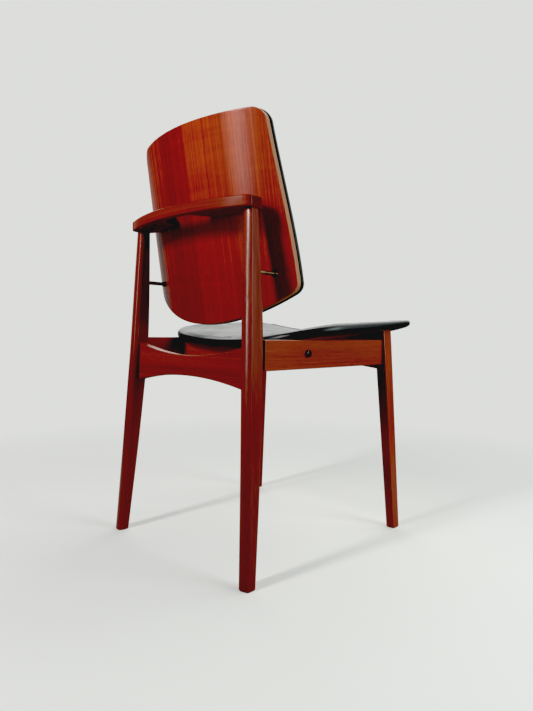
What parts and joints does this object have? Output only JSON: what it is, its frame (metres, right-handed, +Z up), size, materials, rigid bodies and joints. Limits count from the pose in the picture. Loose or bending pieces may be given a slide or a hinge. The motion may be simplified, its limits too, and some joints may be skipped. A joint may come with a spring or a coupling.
{
  "type": "dining chair",
  "caption": "Dining chair with tapered wooden legs, a curved top rail, a bent-ply back on brass rods and a dished padded seat that floats on a cross bearer.",
  "frame": {"origin": "on the floor, below the middle of the whole chair's box", "axes": "+Z up, the sitter faces -Y, +X is the sitter's left"},
  "size_m": [0.4938, 0.52, 0.8315],
  "materials": {
    "frame_wood": "solid hardwood, oiled and polished to a soft gloss, red-brown",
    "back_veneer": "plywood faced with glossy vertical-grain veneer, pale layered edge",
    "black_leather": "smooth black leather, fine grain, soft gloss",
    "foam": "upholstery foam, hidden under the covers",
    "brass": "turned brass, lightly tarnished",
    "steel": "plain steel screws and bolts",
    "dark_plug": "dark turned hardwood cap",
    "beech_dowel": "plain beech, glued"
  },
  "bodies": {
    "root": {"rear_leg_left": "frame_wood", "rear_leg_right": "frame_wood", "front_leg_left": "frame_wood", "front_leg_right": "frame_wood", "side_rail_left": "frame_wood", "side_rail_right": "frame_wood", "front_rail": "frame_wood", "rear_stretcher": "frame_wood", "seat_bearer": "frame_wood", "crest_rail": "frame_wood", "back_shell": "back_veneer", "back_pad": "foam", "back_cover": "black_leather", "back_rod_left": "brass", "back_rod_right": "brass", "back_rod_collars": "brass", "back_screws": "steel", "seat_shell": "back_veneer", "seat_pad": "foam", "seat_cover": "black_leather", "seat_screws": "steel", "rail_plug_left": "dark_plug", "rail_plug_right": "dark_plug", "bearer_bolts": "steel", "bearer_dowels": "beech_dowel", "side_rail_dowels": "beech_dowel", "front_rail_dowels": "beech_dowel", "stretcher_dowels": "beech_dowel", "crest_dowels": "beech_dowel"}
  },
  "joints": []
}
